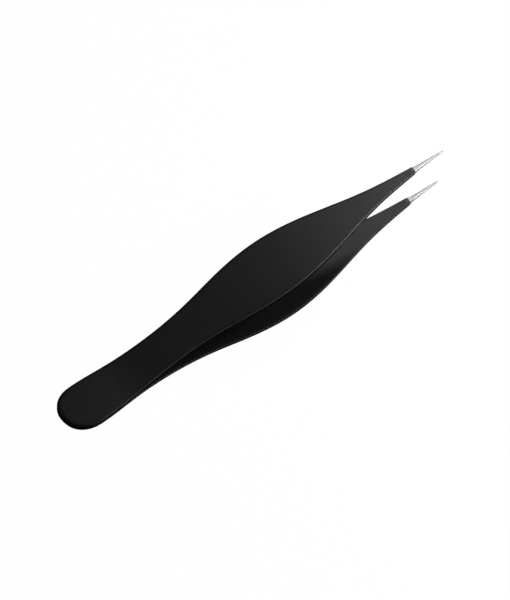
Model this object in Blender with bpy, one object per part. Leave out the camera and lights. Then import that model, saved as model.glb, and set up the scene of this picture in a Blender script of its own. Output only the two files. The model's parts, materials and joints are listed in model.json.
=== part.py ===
"""Pointed tweezers: two steel arms, spot welded at the heel and powder coated as far as the needles.

The arms are laid out about their mid-plane, in millimetres: X runs from the heel to the points, Y is
across and Z is towards the upper arm. An empty then lays the pair down on the lower arm, at rest on
a table at Z = 0. Each steel arm is one strip, taken here as a heel and a blade that turns on the heel
at the narrow neck, where the strip bends.
"""
import math

import bmesh
import bpy
import numpy as np
from mathutils import Matrix

MM = 0.001

# overall layout
LENGTH = 98.0
COAT_END = 90.2
NECK_BEND = 25.0
BEND_GAP = 0.16
WELD_END = 14.0

# plan outline of a coated arm: the heel's end, a superellipse of this squareness (2 is an ellipse), then half
# widths at places along the arm
HEEL_LENGTH = 5.8
HEEL_HALF_WIDTH = 4.95
HEEL_SQUARENESS = 2.25
HALF_WIDTHS = (
    (HEEL_LENGTH, HEEL_HALF_WIDTH),
    (16.0, 4.38),
    (26.0, 4.10),
    (34.0, 4.64),
    (42.0, 5.80),
    (52.0, 6.60),
    (62.0, 5.66),
    (71.0, 3.72),
    (79.0, 2.05),
    (COAT_END, 0.70),
)

# side outline of a coated arm: its outer face above the mid-plane, and its thickness
FACE_HEIGHTS = ((12.0, 0.76), (20.0, 1.34), (30.0, 2.60), (42.0, 4.09), (55.0, 5.20), (70.0, 5.60), (COAT_END, 5.53))
THICKNESSES = ((12.0, 0.865), (30.0, 0.88), (55.0, 1.0), (COAT_END, 1.0))
EDGE_RADIUS = 0.25

# powder coat, and the fit of the steel inside it
COAT = 0.10
COAT_FIT = 0.02
SEAM = 0.03
LAP = 0.05

# bare needle points
POINT_HALF_WIDTH = 0.14
POINT_OUTER = 5.16
POINT_INNER = 4.86
POINT_RADIUS = 0.07

# spot weld nuggets, each a lens of fused steel across the seam
NUGGETS = {"rear_weld_nugget": 4.8, "front_weld_nugget": 10.4}
NUGGET_RADIUS = 1.5
NUGGET_HALF_HEIGHT = 0.30
NUGGET_FIT = 0.05

# how finely the surfaces are divided
HEEL_STEPS = 9
STATION_STEP = 3.0
NEEDLE_STEPS = 4
EDGE_STEPS = 2
SMOOTH_ANGLE = math.radians(50.0)


def remove_everything():
    for item in list(bpy.data.objects):
        bpy.data.objects.remove(item, do_unlink=True)


def curve_through(points):
    """A cubic spline, level before its first point and free of bending at its last."""
    x, y = np.array(points, dtype=float).T
    step = np.diff(x)
    slope = np.diff(y) / step
    rows = np.eye(len(x))
    rows[0, :2] = 2.0 * step[0], step[0]
    right = np.zeros(len(x))
    right[0] = 6.0 * slope[0]
    for i in range(1, len(x) - 1):
        rows[i, i - 1 : i + 2] = step[i - 1], 2.0 * (step[i - 1] + step[i]), step[i]
        right[i] = 6.0 * (slope[i] - slope[i - 1])
    bend = np.linalg.solve(rows, right)

    def value(at):
        at = max(at, x[0])
        i = min(int(np.searchsorted(x, at, side="right")) - 1, len(step) - 1)
        a = (x[i + 1] - at) / step[i]
        b = (at - x[i]) / step[i]
        curved = (a**3 - a) * bend[i] + (b**3 - b) * bend[i + 1]
        return a * y[i] + b * y[i + 1] + curved * step[i] ** 2 / 6.0

    return value


half_width = curve_through(HALF_WIDTHS)
face_height = curve_through(FACE_HEIGHTS)
thickness = curve_through(THICKNESSES)


def inner_height(x):
    """The coated inner face. At the heel it runs past the mid-plane, because one coat covers both arms."""
    return face_height(x) - thickness(x)


def spread(start, end, step=STATION_STEP):
    """Even stations from start to end, no further apart than step."""
    count = math.ceil((end - start) / step)
    return [start + (end - start) * i / count for i in range(count + 1)]


def section(wall_x, wall_y, face_x, face_y, radius, outer, inner):
    """A ring round one arm, with rounded edges. outer and inner give the faces' heights at an x."""
    side = []
    for i in range(EDGE_STEPS + 1):
        turn = math.pi / 2 * i / EDGE_STEPS
        x = face_x + (wall_x - face_x) * math.sin(turn)
        y = face_y + (wall_y - face_y) * math.sin(turn)
        side.append((x, y, outer(x) - radius * (1.0 - math.cos(turn))))
    for i in range(EDGE_STEPS + 1):
        turn = math.pi / 2 * (1.0 - i / EDGE_STEPS)
        x = face_x + (wall_x - face_x) * math.sin(turn)
        y = face_y + (wall_y - face_y) * math.sin(turn)
        side.append((x, y, inner(x) + radius * (1.0 - math.cos(turn))))
    return side + [(x, -y, z) for x, y, z in reversed(side)]


def heel_rings(inset, outer, inner):
    """Rings round the heel's end, a superellipse, from its rearmost line to its widest place."""
    radius = EDGE_RADIUS - inset
    power = 2.0 / HEEL_SQUARENESS
    rings = []
    for i in range(HEEL_STEPS):
        turn = math.pi / 2 * i / HEEL_STEPS
        place = []
        for back in (inset, inset + radius):
            place.append(HEEL_LENGTH - (HEEL_LENGTH - back) * math.cos(turn) ** power)
            place.append((HEEL_HALF_WIDTH - back) * math.sin(turn) ** power)
        rings.append(section(*place, radius, outer, inner))
    return rings


def strip_rings(stations, inset, outer, inner):
    """Rings along the arm, at the stations."""
    radius = EDGE_RADIUS - inset
    rings = []
    for x in stations:
        wall = half_width(x) - inset
        rings.append(section(x, wall, x, wall - radius, radius, outer, inner))
    return rings


def needle_rings(inset):
    """Rings along the bare needle, from the end of the coat to the point."""
    start_radius = EDGE_RADIUS - inset
    rings = []
    for i in range(1, NEEDLE_STEPS + 1):
        part = i / NEEDLE_STEPS
        x = COAT_END + (LENGTH - COAT_END) * part
        radius = start_radius + (POINT_RADIUS - start_radius) * part
        wall_start = half_width(COAT_END) - inset
        wall = wall_start + (POINT_HALF_WIDTH - wall_start) * part
        outer_start = face_height(COAT_END) - inset
        inner_start = inner_height(COAT_END) + inset
        outer_here = outer_start + (POINT_OUTER - outer_start) * part
        inner_here = inner_start + (POINT_INNER - inner_start) * part
        rings.append(section(x, wall, x, wall - radius, radius, lambda _: outer_here, lambda _: inner_here))
    return rings


def loft(rings, end_caps=(), closed=False):
    """A mesh through the rings. end_caps names the rings to close, and closed joins the last to the first."""
    mesh = bmesh.new()
    loops = [[mesh.verts.new([c * MM for c in point]) for point in ring] for ring in rings]
    pairs = list(zip(loops, loops[1:]))
    if closed:
        pairs.append((loops[-1], loops[0]))
    for near, far in pairs:
        for i in range(len(near)):
            j = (i + 1) % len(near)
            mesh.faces.new((near[i], near[j], far[j], far[i]))
    for end in end_caps:
        mesh.faces.new(loops[end])
    bmesh.ops.remove_doubles(mesh, verts=mesh.verts[:], dist=1e-4 * MM)
    bmesh.ops.recalc_face_normals(mesh, faces=mesh.faces[:])
    return mesh


def turned_over(mesh):
    """The same shape for the lower arm: half a turn about X."""
    bmesh.ops.rotate(mesh, verts=mesh.verts[:], cent=(0, 0, 0), matrix=Matrix.Rotation(math.pi, 3, "X"))
    return mesh


def material(name, colour, roughness, metallic):
    made = bpy.data.materials.new(name)
    made.use_nodes = True
    shader = made.node_tree.nodes["Principled BSDF"]
    shader.inputs["Base Color"].default_value = (*colour, 1.0)
    shader.inputs["Roughness"].default_value = roughness
    shader.inputs["Metallic"].default_value = metallic
    return made


def empty(name, parent=None, location=(0.0, 0.0, 0.0)):
    made = bpy.data.objects.new(name, None)
    made.parent = parent
    made.location = location
    bpy.context.collection.objects.link(made)
    return made


def piece(name, mesh, finish, parent):
    """An object made of the mesh, whose points are moved into its parent's own frame."""
    if parent.parent is not None:
        bmesh.ops.translate(mesh, verts=mesh.verts[:], vec=-parent.location)
    data = bpy.data.meshes.new(name)
    mesh.to_mesh(data)
    mesh.free()
    data.shade_smooth()
    data.set_sharp_from_angle(angle=SMOOTH_ANGLE)
    made = bpy.data.objects.new(name, data)
    made.parent = parent
    if finish is not None:
        data.materials.append(finish)
    bpy.context.collection.objects.link(made)
    return made


def guide(name, mesh, parent):
    """A shape that only adds to or cuts from others."""
    made = piece(name, mesh, None, parent)
    made.hide_render = True
    made.display_type = "WIRE"
    return made


def combine(target, operation, other):
    step = target.modifiers.new(other.name, "BOOLEAN")
    step.operation = operation
    step.solver = "EXACT"
    step.object = other


def steel_heel_mesh(front):
    """The steel of one arm from the heel's end to the bend. Its inner face lies on the weld seam."""
    inset = COAT + COAT_FIT

    def outer(x):
        return face_height(x) - inset

    def inner(x):
        return max(inner_height(x) + inset, SEAM / 2)

    rings = heel_rings(inset, outer, inner)
    rings += strip_rings(spread(HEEL_LENGTH, front), inset, outer, inner)
    return loft(rings, end_caps=(-1,))


def heel_skin_mesh(front):
    """The coat's outer shape round one arm's heel, lapping over the mid-plane to meet the other arm's."""
    rings = heel_rings(0.0, face_height, inner_height)
    rings += strip_rings(spread(HEEL_LENGTH, front), 0.0, face_height, inner_height)
    return loft(rings, end_caps=(-1,))


def heel_space_mesh(front):
    """The room for one arm's steel in the heel's coat, open to the other arm's as far as the welds reach."""

    def outer(x):
        return face_height(x) - COAT

    def lapped(_):
        return -LAP

    def parted(x):
        return inner_height(x) + COAT

    rings = heel_rings(COAT, outer, lapped)
    rings += strip_rings(spread(HEEL_LENGTH, WELD_END), COAT, outer, lapped)
    rings += strip_rings(spread(WELD_END + COAT, front), COAT, outer, parted)
    return loft(rings, end_caps=(-1,))


def steel_blade_mesh(rear):
    """The steel of one arm from the bend to the needle's point."""
    inset = COAT + COAT_FIT

    def outer(x):
        return face_height(x) - inset

    def inner(x):
        return inner_height(x) + inset

    rings = strip_rings(spread(rear, COAT_END), inset, outer, inner) + needle_rings(inset)
    return loft(rings, end_caps=(0, -1))


def blade_coat_mesh(rear):
    """The coat round one blade: a thin sleeve, open at the bend and where the needle comes out."""
    stations = spread(rear, COAT_END)
    outside = strip_rings(stations, 0.0, face_height, inner_height)
    inside = strip_rings(
        stations,
        COAT,
        lambda x: face_height(x) - COAT,
        lambda x: inner_height(x) + COAT,
    )
    return loft(outside + inside[::-1], closed=True)


def nugget_mesh(x, extra=0.0):
    """A lens of round plan, centred on the mid-plane at x."""
    mesh = bmesh.new()
    bmesh.ops.create_uvsphere(mesh, u_segments=20, v_segments=10, radius=1.0)
    size = (NUGGET_RADIUS + extra, NUGGET_RADIUS + extra, NUGGET_HALF_HEIGHT + extra)
    bmesh.ops.scale(mesh, verts=mesh.verts[:], vec=[s * MM for s in size])
    bmesh.ops.translate(mesh, verts=mesh.verts[:], vec=(x * MM, 0.0, 0.0))
    return mesh


def build_heel(attitude, coat, steel, weld):
    """The two steel heels, the nuggets that join them and the one coat that covers them."""
    front = NECK_BEND - BEND_GAP / 2
    heels = [
        piece("upper_heel", steel_heel_mesh(front), steel, attitude),
        piece("lower_heel", turned_over(steel_heel_mesh(front)), steel, attitude),
    ]
    for name, x in NUGGETS.items():
        piece(name, nugget_mesh(x), weld, attitude)
        pocket = guide(name + "_pocket", nugget_mesh(x, NUGGET_FIT), attitude)
        for heel in heels:
            combine(heel, "DIFFERENCE", pocket)

    skin = piece("heel_coating", heel_skin_mesh(front), coat, attitude)
    combine(skin, "UNION", guide("lower_heel_skin", turned_over(heel_skin_mesh(front)), attitude))
    past_front = front + 1.0
    combine(skin, "DIFFERENCE", guide("upper_heel_space", heel_space_mesh(past_front), attitude))
    combine(skin, "DIFFERENCE", guide("lower_heel_space", turned_over(heel_space_mesh(past_front)), attitude))
    return heels + [skin]


def build_blade(side, axis, turn, coat, steel):
    """One arm from the bend forward, carried by the empty that lies on its bending axis."""
    rear = NECK_BEND + BEND_GAP / 2
    return [
        piece(side + "_blade", turn(steel_blade_mesh(rear)), steel, axis),
        piece(side + "_blade_coating", turn(blade_coat_mesh(rear)), coat, axis),
    ]


def points_of(item):
    """The item's points in its root's frame, in metres."""
    shift = np.zeros(3) if item.parent.parent is None else np.array(item.parent.location)
    return np.array([corner.co for corner in item.data.vertices]) + shift


def heights_when_tilted(points, tilt):
    return points[:, 0] * math.sin(tilt) + points[:, 2] * math.cos(tilt)


def resting_tilt(heel, arm):
    """The angle at which the heel and the arm touch the table together, found by halving."""
    low, high = 0.0, math.radians(20.0)
    for _ in range(40):
        middle = (low + high) / 2
        heel_gap = heights_when_tilted(heel, middle).min() - heights_when_tilted(arm, middle).min()
        if heel_gap > 0.0:
            low = middle
        else:
            high = middle
    return (low + high) / 2


def lay_down(attitude, heel, arm, everything):
    """Tips the tweezers onto the lower arm, with the origin under the middle of their bounding box."""
    tilt = resting_tilt(heel, arm)
    turn = np.array(Matrix.Rotation(-tilt, 3, "Y"))
    placed = everything @ turn.T
    low, high = placed.min(axis=0), placed.max(axis=0)
    attitude.rotation_euler = (0.0, -tilt, 0.0)
    attitude.location = (-(low[0] + high[0]) / 2, -(low[1] + high[1]) / 2, -low[2])


def main():
    remove_everything()
    coat = material("black_powder_coat", (0.014, 0.014, 0.015), 0.45, 0.0)
    steel = material("bare_steel", (0.62, 0.62, 0.63), 0.30, 1.0)
    weld = material("fused_steel", (0.42, 0.41, 0.40), 0.50, 1.0)

    attitude = empty("resting_attitude")
    bend_height = (face_height(NECK_BEND) + inner_height(NECK_BEND)) / 2
    upper_axis = empty("upper_bend_axis", attitude, (NECK_BEND * MM, 0.0, bend_height * MM))
    lower_axis = empty("lower_bend_axis", attitude, (NECK_BEND * MM, 0.0, -bend_height * MM))

    heel = build_heel(attitude, coat, steel, weld)
    upper = build_blade("upper", upper_axis, lambda mesh: mesh, coat, steel)
    lower = build_blade("lower", lower_axis, turned_over, coat, steel)

    everything = np.vstack([points_of(item) for item in heel + upper + lower])
    heel_points = points_of(heel[-1]) * (1.0, -1.0, -1.0)
    lay_down(attitude, heel_points, points_of(lower[-1]), everything)


main()
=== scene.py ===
"""Looks of the pointed tweezers: two coated steel arms with bare needle points, welded at the heel.

Each arm is worked out in millimetres about the pair's mid-plane: X runs from the heel to the points, Y is
across and Z is towards the upper arm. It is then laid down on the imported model, in metres.
"""
import json
import math

import bmesh
import bpy
import numpy as np
from mathutils import Matrix, Vector


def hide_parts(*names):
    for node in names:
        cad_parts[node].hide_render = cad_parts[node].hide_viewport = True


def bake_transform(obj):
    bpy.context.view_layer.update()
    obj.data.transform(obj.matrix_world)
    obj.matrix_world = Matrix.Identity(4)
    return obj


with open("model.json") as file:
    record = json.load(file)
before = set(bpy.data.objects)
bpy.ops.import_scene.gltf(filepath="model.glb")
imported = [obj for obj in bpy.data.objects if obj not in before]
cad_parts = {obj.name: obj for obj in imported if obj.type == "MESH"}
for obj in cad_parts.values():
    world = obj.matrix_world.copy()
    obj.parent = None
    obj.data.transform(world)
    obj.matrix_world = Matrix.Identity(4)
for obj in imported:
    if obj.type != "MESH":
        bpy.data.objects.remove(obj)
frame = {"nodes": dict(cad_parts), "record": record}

MM = 0.001

# plan outline of a coated arm: the heel's end, a superellipse of this squareness (2 is an ellipse), then
# half widths at places along the arm
LENGTH = 98.0
COAT_END = 90.2
HEEL_LENGTH = 5.8
HEEL_HALF_WIDTH = 4.95
HEEL_SQUARENESS = 2.25
HALF_WIDTHS = (
    (HEEL_LENGTH, HEEL_HALF_WIDTH),
    (16.0, 4.38),
    (26.0, 4.10),
    (34.0, 4.64),
    (42.0, 5.80),
    (52.0, 6.60),
    (62.0, 5.66),
    (71.0, 3.72),
    (79.0, 2.05),
    (COAT_END, 0.70),
)

# side outline of a coated arm: its outer face above the mid-plane, and its thickness
FACE_HEIGHTS = (
    (12.0, 0.76),
    (20.0, 1.34),
    (30.0, 2.60),
    (42.0, 4.09),
    (55.0, 5.20),
    (70.0, 5.60),
    (COAT_END, 5.53),
)
THICKNESSES = ((12.0, 0.865), (30.0, 0.88), (55.0, 1.0), (COAT_END, 1.0))

# the round of the inner face's edge, and how far the outer face's middle stands above its edges
INNER_EDGE_RADIUS = 0.12
CROWN = 0.03

# the outer face's rolled edge, as arcs from the face to the wall: the angle each turns to, and its radius.
# The radii are scaled by the share below plus so much for each millimetre of half width, up to full size.
EDGE_ARCS = ((25.0, 1.20), (65.0, 0.30), (90.0, 0.12))
NARROWEST_EDGE = 0.23
EDGE_PER_WIDTH = 0.28
LEAST_RADIUS = 0.01

# the coat's thickness, how deep the steel lies in it, half the gap that each leaves at the seam over the
# welds, and how softly the arms part from there
COAT = 0.10
STEEL_INSET = 0.12
COAT_SEAM = 0.006
STEEL_SEAM = 0.015
SEAM_BLEND = 0.05

# the coat's end: how far it is askew and over what length, the lip that closes it, where the lip's rings
# lie, and how far the coat's inside stands off the seam
COAT_END_SLANT = 0.25
SLANT_REACH = 4.0
LIP = 0.07
LIP_PARTS = (0.33, 0.67)
LINING_LIFT = 0.004

# bare needle points: their size, the share of a needle over which the strip is ground round, how round it
# then is, and the length of the rounded end
POINT_HALF_WIDTH = 0.14
POINT_OUTER = 5.16
POINT_INNER = 4.86
GRIND_SHARE = 0.12
NEEDLE_ROUNDNESS = 0.9
POINT_ROUNDING = 0.12

# how finely the surfaces are divided
HEEL_STEPS = 16
STATION_STEP = 0.9
FACE_STEPS = 6
ARC_STEPS = 3
INNER_EDGE_STEPS = 3
WALL_STEPS = 2
NEEDLE_STEPS = 14
POINT_STEPS = 5
MERGE_DISTANCE = 0.0002

# the heel's upper mount, along the arm and above the mid-plane
HEEL_MOUNT_PLACE = (6.0, 0.76)

# the camera: its direction from the object and turn about its own axis in degrees, its distance in metres,
# its lens in millimetres, and how far it is moved aside and up in metres
VIEW_AZIMUTH = 309.83
VIEW_ELEVATION = 50.52
VIEW_ROLL = 11.18
VIEW_DISTANCE = 0.7143
VIEW_LENS = 219.4
VIEW_ASIDE = -0.000385
VIEW_RAISED = -0.001997

# the studio: how bright it is above the table away from the lights, the watts for each square metre of a
# light of brightness 1, and the studio's radius in metres
SKY = 0.015
LIGHT_WATTS = 4.0
STAGE_RADIUS = 2.0


# ---------------------------------------------------------------- shapes

def curve_through(points):
    """A cubic spline, level before its first point and free of bending at its last."""
    x, y = np.array(points, dtype=float).T
    step = np.diff(x)
    slope = np.diff(y) / step
    rows = np.eye(len(x))
    rows[0, :2] = 2.0 * step[0], step[0]
    right = np.zeros(len(x))
    right[0] = 6.0 * slope[0]
    for i in range(1, len(x) - 1):
        rows[i, i - 1 : i + 2] = step[i - 1], 2.0 * (step[i - 1] + step[i]), step[i]
        right[i] = 6.0 * (slope[i] - slope[i - 1])
    bend = np.linalg.solve(rows, right)

    def value(at):
        at = max(at, x[0])
        i = min(int(np.searchsorted(x, at, side="right")) - 1, len(step) - 1)
        a = (x[i + 1] - at) / step[i]
        b = (at - x[i]) / step[i]
        curved = (a**3 - a) * bend[i] + (b**3 - b) * bend[i + 1]
        return a * y[i] + b * y[i + 1] + curved * step[i] ** 2 / 6.0

    return value


half_width = curve_through(HALF_WIDTHS)
face_height = curve_through(FACE_HEIGHTS)
thickness = curve_through(THICKNESSES)


def parting_height(x, inset, seam):
    """The inner face of one arm. Over the welds it keeps to the seam, and it leaves it smoothly."""
    free = face_height(x) - thickness(x) + inset
    rise = free - seam
    return seam + (rise + math.hypot(rise, SEAM_BLEND)) / 2


def rolled_edge(radii):
    """The rolled edge with these radii for its arcs, from the face to the wall: places inside the wall,
    drops below the face and angles turned, in radians."""
    points = [(0.0, 0.0, 0.0)]
    start = 0.0
    for (end, _), radius in zip(EDGE_ARCS, radii):
        out, drop, _ = points[-1]
        a = math.radians(start)
        for i in range(1, ARC_STEPS + 1):
            b = math.radians(start + (end - start) * i / ARC_STEPS)
            outward = radius * (math.sin(b) - math.sin(a))
            downward = radius * (math.cos(a) - math.cos(b))
            points.append((out + outward, drop + downward, b))
        start = end
    width = points[-1][0]
    return [(width - out, drop, turn) for out, drop, turn in points]


def edge_radii(x, inset):
    """The radii of the rolled edge's arcs at x, which tightens where the arm is narrow."""
    scale = min(1.0, NARROWEST_EDGE + EDGE_PER_WIDTH * half_width(x))
    return [max(radius * scale - inset, LEAST_RADIUS) for _, radius in EDGE_ARCS]


def section(outline, top, bottom, radii, inner_radius):
    """A ring round one arm, from the outer face's middle by +Y and back by -Y, as points with their wear.

    outline gives the plan point some way inside the wall. top and bottom give the faces' heights at an x.
    """
    wall = outline(0.0)
    # the arm has no width at the heel's very end
    widest = max(wall[1], 1e-6)
    half = []

    def upper_point(place, drop, wear):
        x, y = place
        half.append((x, y, top(x) - CROWN * (y / widest) ** 2 - drop, wear))

    edge = rolled_edge(radii)
    face = outline(edge[0][0])
    for i in range(FACE_STEPS):
        upper_point((face[0], face[1] * i / FACE_STEPS), 0.0, 0.0)
    for back, drop, turn in edge:
        upper_point(outline(back), drop, math.sin(2.0 * turn))
    high = half[-1][2]
    low = bottom(wall[0]) + inner_radius
    for i in range(1, WALL_STEPS):
        half.append((*wall, high + (low - high) * i / WALL_STEPS, 0.0))
    for i in range(INNER_EDGE_STEPS + 1):
        turn = math.pi / 2 * (1.0 - i / INNER_EDGE_STEPS)
        x, y = outline(inner_radius * (1.0 - math.sin(turn)))
        half.append((x, y, bottom(x) + inner_radius * (1.0 - math.cos(turn)), math.sin(2.0 * turn)))
    face = outline(inner_radius)
    for i in range(1, FACE_STEPS + 1):
        half.append((face[0], face[1] * (1.0 - i / FACE_STEPS), bottom(face[0]), 0.0))
    return half + [(x, -y, z, wear) for x, y, z, wear in half[-2:0:-1]]


def heel_outline(turn, inset):
    """Points of the heel's end at one parameter angle, for section."""
    power = 2.0 / HEEL_SQUARENESS

    def point(back):
        x = HEEL_LENGTH - (HEEL_LENGTH - inset - back) * math.cos(turn) ** power
        return x, (HEEL_HALF_WIDTH - inset - back) * math.sin(turn) ** power

    return point


def strip_outline(x, inset):
    """Points of the strip's side at x, for section."""

    def point(back):
        return x, half_width(x) - inset - back

    return point


def arm_rings(inset, seam, last):
    """Rings from the heel's end to last, inset from the coat's outer surface."""

    def top(x):
        return face_height(x) - inset

    def bottom(x):
        return parting_height(x, inset, seam)

    inner_radius = max(INNER_EDGE_RADIUS - inset, LEAST_RADIUS)
    rings = []
    for i in range(HEEL_STEPS):
        turn = math.pi / 2 * i / HEEL_STEPS
        rings.append(section(heel_outline(turn, inset), top, bottom, edge_radii(0.0, inset), inner_radius))
    count = math.ceil((last - HEEL_LENGTH) / STATION_STEP)
    for i in range(count + 1):
        x = HEEL_LENGTH + (last - HEEL_LENGTH) * i / count
        rings.append(section(strip_outline(x, inset), top, bottom, edge_radii(x, inset), inner_radius))
    return rings


def coat_rings(side):
    """The coat as one closed skin: its outside to the needle, the lip, and back along its inside."""
    outside = arm_rings(0.0, COAT_SEAM, COAT_END - LIP)
    inside = arm_rings(COAT, COAT_SEAM + LINING_LIFT, COAT_END)

    def lip_ring(part):
        ring = []
        for a, b in zip(outside[-1], inside[-1]):
            forward = a[0] + (COAT_END - a[0]) * math.sin(math.pi / 2 * part)
            shrink = 1.0 - math.cos(math.pi / 2 * part)
            ring.append((forward, a[1] + (b[1] - a[1]) * shrink, a[2] + (b[2] - a[2]) * shrink, 1.0))
        return ring

    lips = [lip_ring(part) for part in LIP_PARTS]
    return slanted(outside + lips + inside[::-1], side)


def slanted(rings, side):
    """The coat's end lies a little askew, as its mask did: it reaches further towards +Y."""
    width = half_width(COAT_END)
    moved = []
    for ring in rings:
        points = []
        for x, y, z, edge in ring:
            share = max(0.0, 1.0 - (COAT_END - x) / SLANT_REACH)
            points.append((x + COAT_END_SLANT / 2 * share * (side * y / width - 1.0), y, z, edge))
        moved.append(points)
    return moved


def needle_ring(part):
    """A ring of the ground needle, from a flat strip at 0 to a fine round point at 1."""
    x = COAT_END + (LENGTH - COAT_END) * part
    start_wall = half_width(COAT_END) - STEEL_INSET
    start_top = face_height(COAT_END) - STEEL_INSET
    start_bottom = face_height(COAT_END) - thickness(COAT_END) + STEEL_INSET
    wall = start_wall + (POINT_HALF_WIDTH - start_wall) * part
    top = start_top + (POINT_OUTER - start_top) * part
    bottom = start_bottom + (POINT_INNER - start_bottom) * part
    ground = min(1.0, part / GRIND_SHARE)
    round_radius = min(wall, (top - bottom) / 2) * NEEDLE_ROUNDNESS
    radii = [r + (round_radius - r) * ground for r in edge_radii(COAT_END, STEEL_INSET)]
    inner_radius = LEAST_RADIUS + (round_radius - LEAST_RADIUS) * ground

    def outline(back):
        return x, wall - back

    return section(outline, lambda _: top, lambda _: bottom, radii, inner_radius)


def point_rings():
    """The rounded end of the needle."""
    last = needle_ring(1.0)
    middle = (POINT_OUTER + POINT_INNER) / 2
    rings = []
    for i in range(1, POINT_STEPS + 1):
        turn = math.pi / 2 * i / POINT_STEPS
        size = math.cos(turn)
        x = LENGTH - POINT_ROUNDING + POINT_ROUNDING * math.sin(turn)
        rings.append([(x, y * size, middle + (z - middle) * size, edge) for _, y, z, edge in last])
    return rings


def steel_rings():
    """One arm's steel from the heel to the point."""
    rings = arm_rings(STEEL_INSET, STEEL_SEAM, COAT_END)
    end = 1.0 - POINT_ROUNDING / (LENGTH - COAT_END)
    for i in range(1, NEEDLE_STEPS + 1):
        rings.append(needle_ring(end * i / NEEDLE_STEPS))
    return rings + point_rings()


# ---------------------------------------------------------------- placing

def laid_down():
    """The matrix from an arm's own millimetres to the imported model's metres, read from a mount."""
    mount = next(m for m in frame["record"]["mounts"] if m["name"] == "heel_top_face")
    up = Vector(mount["axis"]).normalized()
    along = Vector((up.z, 0.0, -up.x))
    across = up.cross(along)
    x, z = HEEL_MOUNT_PLACE
    origin = Vector(mount["pos_m"]) - (along * x + up * z) * MM
    turn = Matrix((along, across, up)).transposed().to_4x4()
    return Matrix.Translation(origin) @ turn @ Matrix.Scale(MM, 4)


LAID_DOWN = laid_down()


def loft(name, rings, side):
    """An object through the rings, for the upper arm (side 1) or, turned over, the lower (side -1)."""
    mesh = bmesh.new()
    edge_layer = mesh.verts.layers.float.new("edge")
    rest_layer = mesh.verts.layers.float_vector.new("rest")
    loops = []
    for ring in rings:
        loop = []
        for x, y, z, edge in ring:
            place = Vector((x, y * side, z * side))
            corner = mesh.verts.new(LAID_DOWN @ place)
            corner[edge_layer] = edge
            corner[rest_layer] = place
            loop.append(corner)
        loops.append(loop)
    for near, far in zip(loops, loops[1:]):
        for i in range(len(near)):
            j = (i + 1) % len(near)
            mesh.faces.new((near[i], near[j], far[j], far[i]))
    bmesh.ops.remove_doubles(mesh, verts=mesh.verts[:], dist=MERGE_DISTANCE * MM)
    bmesh.ops.recalc_face_normals(mesh, faces=mesh.faces[:])
    data = bpy.data.meshes.new(name)
    mesh.to_mesh(data)
    mesh.free()
    data.shade_smooth()
    made = bpy.data.objects.new(name, data)
    bpy.context.scene.collection.objects.link(made)
    return made


def points_of(x):
    """The point of the pair's middle line at x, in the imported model's metres."""
    return LAID_DOWN @ Vector((x, 0.0, 0.0))


# ---------------------------------------------------------------- materials

def fed(tree, socket, value):
    """Links the value to the socket if it is another node's output, or else sets it."""
    if isinstance(value, bpy.types.NodeSocket):
        tree.links.new(value, socket)
    else:
        socket.default_value = value


def node(tree, kind, settings=None, **sockets):
    """A shader node. A socket takes a number, a colour or another node's output."""
    made = tree.nodes.new("ShaderNode" + kind)
    for key, value in (settings or {}).items():
        setattr(made, key, value)
    for key, value in sockets.items():
        fed(tree, made.inputs[key.replace("_", " ")], value)
    return made


def maths(tree, operation, first, second):
    made = node(tree, "Math", {"operation": operation})
    fed(tree, made.inputs[0], first)
    fed(tree, made.inputs[1], second)
    return made.outputs[0]


def ranged(tree, value, low, high, to_low, to_high, smooth=False):
    """The value's range from low to high, mapped to another."""
    settings = {"interpolation_type": "SMOOTHSTEP" if smooth else "LINEAR"}
    limits = {"From_Min": low, "From_Max": high, "To_Min": to_low, "To_Max": to_high}
    return node(tree, "MapRange", settings, Value=value, **limits).outputs["Result"]


def noise(tree, place, size, detail=2.0, stretch=(1.0, 1.0, 1.0)):
    """Noise whose features are about size mm across, longer where stretch is more than 1."""
    spread = node(tree, "Mapping", Vector=place, Scale=[1.0 / s for s in stretch])
    made = node(tree, "TexNoise", Vector=spread.outputs[0], Scale=1.0 / size, Detail=detail, Roughness=0.5)
    return made.outputs["Fac"]


def mixed(tree, share, first, second):
    made = node(tree, "Mix", {"data_type": "RGBA"})
    fed(tree, made.inputs[0], share)
    fed(tree, made.inputs[6], first)
    fed(tree, made.inputs[7], second)
    return made.outputs[2]


def new_material(name):
    made = bpy.data.materials.new(name)
    made.use_nodes = True
    return made, made.node_tree, made.node_tree.nodes["Principled BSDF"]


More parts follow.
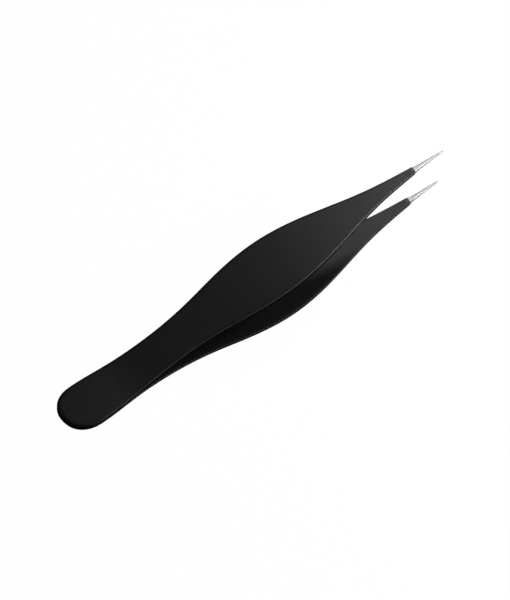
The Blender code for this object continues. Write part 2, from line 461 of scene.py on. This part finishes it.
def powder_coat():
    """Satin black powder coat: faint orange peel and grain, a cloudy sheen, and painted light that makes
    it greyer and bluer near the points.
    """
    made, tree, shader = new_material("black_powder_coat")
    rest = node(tree, "Attribute", {"attribute_name": "rest"}).outputs["Vector"]
    edge = node(tree, "Attribute", {"attribute_name": "edge"}).outputs["Fac"]
    along = node(tree, "SeparateXYZ", Vector=rest).outputs[0]

    cloud = noise(tree, rest, 9.0)
    peel = noise(tree, rest, 0.45)
    grain = noise(tree, rest, 0.16, detail=1.0)

    # painted light: from 60 mm to the points the colour turns greyer and bluer, standing in for the
    # brighter light that falls there
    painted_light_near_points = ranged(tree, along, 60.0, 90.0, 0.0, 1.0, smooth=True)
    tone = mixed(tree, painted_light_near_points, (0.0085, 0.0085, 0.009, 1.0), (0.017, 0.015, 0.024, 1.0))
    worn = maths(tree, "MULTIPLY", edge, ranged(tree, cloud, 0.3, 0.7, 0.25, 0.75))
    tone = mixed(tree, worn, tone, (0.022, 0.022, 0.023, 1.0))
    speckled = ranged(tree, grain, 0.3, 0.7, 0.8, 1.2)
    colour = node(tree, "VectorMath", {"operation": "SCALE"}, Vector=tone, Scale=speckled)
    tree.links.new(colour.outputs[0], shader.inputs["Base Color"])

    sheen = ranged(tree, cloud, 0.3, 0.7, 0.40, 0.46)
    sheen = maths(tree, "ADD", sheen, ranged(tree, peel, 0.3, 0.7, -0.03, 0.03))
    sheen = maths(tree, "SUBTRACT", sheen, maths(tree, "MULTIPLY", edge, 0.05))
    tree.links.new(sheen, shader.inputs["Roughness"])

    height = maths(tree, "ADD", maths(tree, "MULTIPLY", peel, 0.75), maths(tree, "MULTIPLY", grain, 0.25))
    bump = node(tree, "Bump", Strength=1.0, Distance=0.006 * MM, Height=height)
    tree.links.new(bump.outputs[0], shader.inputs["Normal"])
    return made


def bare_steel():
    """Ground stainless steel, with fine lengthwise scratches."""
    made, tree, shader = new_material("bare_steel")
    rest = node(tree, "Attribute", {"attribute_name": "rest"}).outputs["Vector"]
    scratch = noise(tree, rest, 0.10, detail=1.0, stretch=(14.0, 1.0, 1.0))
    patch = noise(tree, rest, 1.2)
    colour = mixed(tree, scratch, (0.56, 0.56, 0.57, 1.0), (0.74, 0.74, 0.745, 1.0))
    tree.links.new(colour, shader.inputs["Base Color"])
    shader.inputs["Metallic"].default_value = 1.0
    rough = ranged(tree, scratch, 0.3, 0.7, 0.48, 0.56)
    rough = maths(tree, "ADD", rough, ranged(tree, patch, 0.3, 0.7, -0.03, 0.03))
    tree.links.new(rough, shader.inputs["Roughness"])
    bump = node(tree, "Bump", Strength=1.0, Distance=0.001 * MM, Height=scratch)
    tree.links.new(bump.outputs[0], shader.inputs["Normal"])
    return made


def fused_steel():
    """Steel that melted and set in the spot welds: duller, mottled and lightly oxidised."""
    made, tree, shader = new_material("fused_steel")
    place = node(tree, "TexCoord").outputs["Object"]
    place = node(tree, "VectorMath", {"operation": "SCALE"}, Vector=place, Scale=1.0 / MM).outputs[0]
    mottle = noise(tree, place, 0.5, detail=4.0)
    clean = ranged(tree, mottle, 0.4, 0.6, 0.0, 1.0)
    colour = mixed(tree, clean, (0.24, 0.19, 0.15, 1.0), (0.45, 0.44, 0.43, 1.0))
    tree.links.new(colour, shader.inputs["Base Color"])
    shader.inputs["Metallic"].default_value = 1.0
    tree.links.new(ranged(tree, mottle, 0.3, 0.7, 0.42, 0.62), shader.inputs["Roughness"])
    bump = node(tree, "Bump", Strength=1.0, Distance=0.02 * MM, Height=mottle)
    tree.links.new(bump.outputs[0], shader.inputs["Normal"])
    return made


# ---------------------------------------------------------------- pieces

def dress(piece, finish):
    """Gives an arm's piece its material and bakes its placing into its mesh."""
    piece.data.materials.append(finish)
    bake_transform(piece)


def build_arms():
    coat = powder_coat()
    steel = bare_steel()
    for name, side in (("upper", 1), ("lower", -1)):
        skin = loft(name + "_arm_coat", coat_rings(side), side)
        dress(skin, coat)
        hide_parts("heel_coating", name + "_blade_coating")
        core = loft(name + "_arm_steel", steel_rings(), side)
        dress(core, steel)
        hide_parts(name + "_heel", name + "_blade")


def finish_nuggets():
    """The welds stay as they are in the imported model, in a better steel."""
    fused = fused_steel()
    for name in ("rear_weld_nugget", "front_weld_nugget"):
        nugget = frame["nodes"][name]
        nugget.data.materials.clear()
        nugget.data.materials.append(fused)
        nugget.data.shade_smooth()


# ---------------------------------------------------------------- camera, floor and lights

def make_camera():
    azimuth, elevation, roll = (math.radians(a) for a in (VIEW_AZIMUTH, VIEW_ELEVATION, VIEW_ROLL))
    level = math.cos(elevation)
    back = Vector((math.sin(azimuth) * level, -math.cos(azimuth) * level, math.sin(elevation)))
    flat = Vector((0.0, 0.0, 1.0)).cross(back).normalized()
    right = flat * math.cos(roll) + back.cross(flat) * math.sin(roll)
    up = back.cross(right)
    data = bpy.data.cameras.new("camera")
    data.lens = VIEW_LENS
    data.clip_start = 0.05
    data.clip_end = 20.0
    made = bpy.data.objects.new("camera", data)
    place = points_of(LENGTH / 2) + back * VIEW_DISTANCE + right * VIEW_ASIDE + up * VIEW_RAISED
    turn = Matrix((right, up, back)).transposed().to_4x4()
    made.matrix_world = Matrix.Translation(place) @ turn
    bpy.context.scene.collection.objects.link(made)
    bpy.context.scene.camera = made


def glow(name, strength, diffuse):
    """A white studio surface that is lit from within, so that it stays even."""
    made, tree, shader = new_material(name)
    shader.inputs["Base Color"].default_value = (diffuse, diffuse, diffuse, 1.0)
    shader.inputs["Roughness"].default_value = 0.9
    shader.inputs["Specular IOR Level"].default_value = 0.0
    shader.inputs["Emission Color"].default_value = (1.0, 1.0, 1.0, 1.0)
    shader.inputs["Emission Strength"].default_value = strength
    return made


def stage_object(name, mesh, finish):
    """A surface that only the camera sees, so that it neither lights nor shades the arms."""
    data = bpy.data.meshes.new(name)
    mesh.to_mesh(data)
    mesh.free()
    data.shade_smooth()
    data.materials.append(finish)
    made = bpy.data.objects.new(name, data)
    bpy.context.scene.collection.objects.link(made)
    made.visible_diffuse = False
    made.visible_glossy = False
    made.visible_shadow = False


def build_stage():
    """A white table inside a white sphere, which it just reaches through so that no gap is left."""
    floor = bmesh.new()
    bmesh.ops.create_circle(floor, cap_ends=True, segments=64, radius=STAGE_RADIUS)
    stage_object("floor", floor, glow("floor_white", 0.985, 0.03))
    dome = bmesh.new()
    bmesh.ops.create_uvsphere(dome, u_segments=64, v_segments=32, radius=STAGE_RADIUS * 0.999)
    stage_object("backdrop", dome, glow("backdrop_white", 1.0, 0.0))


def softbox(name, place, aim, size, brightness):
    """A rectangular light at a place about the arms, in millimetres, with its length along them.

    brightness is in steps of LIGHT_WATTS for each square metre, so it doesn't change with the size.
    """
    place, aim = (LAID_DOWN @ Vector(point) for point in (place, aim))
    data = bpy.data.lights.new(name, "AREA")
    data.shape = "RECTANGLE"
    data.size, data.size_y = (side * MM for side in size)
    data.energy = LIGHT_WATTS * brightness * data.size * data.size_y
    back = (place - aim).normalized()
    across = back.cross(LAID_DOWN.col[0].to_3d()).normalized()
    along = across.cross(back)
    made = bpy.data.objects.new(name, data)
    made.matrix_world = Matrix.Translation(place) @ Matrix((along, across, back)).transposed().to_4x4()
    made.visible_camera = False
    bpy.context.scene.collection.objects.link(made)


def build_lights():
    """The first two light the faces, the next three the near edges, and the last the nose's near walls."""
    softbox("key", (290, 110, 200), (88, 0, 5), (100, 60), 8.0)
    softbox("overhead", (95, 100, 205), (45, 0, 5), (120, 70), 0.20)
    softbox("edge_strip", (151, -185, 128), (50, 0, 5), (200, 60), 3.0)
    softbox("edge_key", (188, -132, 150), (88, 0, 5), (60, 50), 3.6)
    softbox("tip_strip", (135, -40, 62), (88, 0, 5), (30, 25), 9.0)
    softbox("table_bounce", (140, -35, -60), (88, 0, 5), (30, 30), 1.0)


def build_world():
    """The dim studio away from the lights, which fades to black towards the horizon."""
    world = bpy.data.worlds.new("studio")
    bpy.context.scene.world = world
    world.use_nodes = True
    tree = world.node_tree
    height = node(tree, "SeparateXYZ", Vector=node(tree, "TexCoord").outputs["Generated"]).outputs[2]
    background = tree.nodes["Background"]
    background.inputs["Color"].default_value = (1.0, 1.0, 1.0, 1.0)
    tree.links.new(ranged(tree, height, -0.1, 0.3, 0.0, SKY, smooth=True), background.inputs["Strength"])


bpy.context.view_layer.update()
make_camera()
build_arms()
finish_nuggets()
build_stage()
build_lights()
build_world()
bpy.context.scene.view_settings.view_transform = "Standard"
